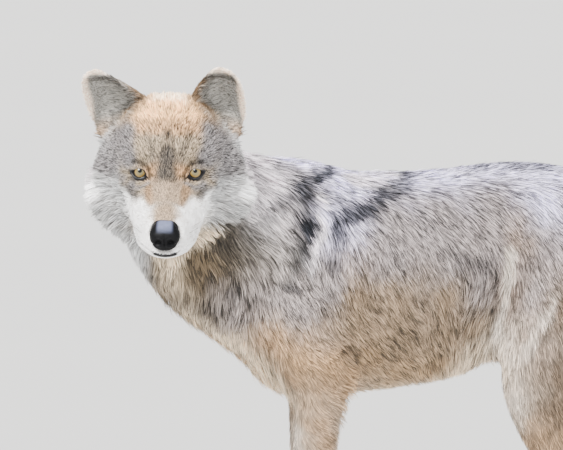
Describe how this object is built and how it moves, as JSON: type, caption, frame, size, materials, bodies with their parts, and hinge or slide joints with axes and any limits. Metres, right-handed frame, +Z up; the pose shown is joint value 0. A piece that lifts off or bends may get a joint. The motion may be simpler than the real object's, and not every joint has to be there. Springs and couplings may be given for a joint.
{
  "type": "timber wolf figure",
  "caption": "Life-size still model of a grey timber wolf standing on four legs with its head turned to look over its left shoulder.",
  "frame": {"origin": "on the floor under the middle of the animal's bounding box", "axes": "-X towards the wolf's chest, +Z up, -Y towards the wolf's left side, to which the face is turned"},
  "size_m": [1.157, 0.3466, 0.8743],
  "materials": {
    "coat_face": "short dense fur, cream and white with grey forehead and tan bridge of the muzzle",
    "coat_ears": "velvety short fur, tan backs, pale grey insides",
    "coat_neck": "long loose ruff, cream throat and banded grey-brown sides",
    "coat_back": "long coarse guard hairs, grey with black tips over tan",
    "coat_tail": "long bushy hair, grey-brown with a black tip",
    "coat_legs": "short close fur, tan to cream",
    "coat_paws": "short close fur, cream, with dark pads and claws",
    "nose_pad": "black, moist and finely pebbled",
    "eye": "wet and glossy, amber iris with a dark pupil and black rim"
  },
  "bodies": {
    "root": {"head": "coat_face", "jaw": "coat_face", "nose": "nose_pad", "ear_left": "coat_ears", "ear_right": "coat_ears", "eye_left": "eye", "eye_right": "eye", "neck": "coat_neck", "trunk": "coat_back", "tail": "coat_tail", "foreleg_left": "coat_legs", "foreleg_right": "coat_legs", "paw_fore_left": "coat_paws", "paw_fore_right": "coat_paws", "hindleg_left": "coat_legs", "hindleg_right": "coat_legs", "paw_hind_left": "coat_paws", "paw_hind_right": "coat_paws"}
  },
  "joints": []
}
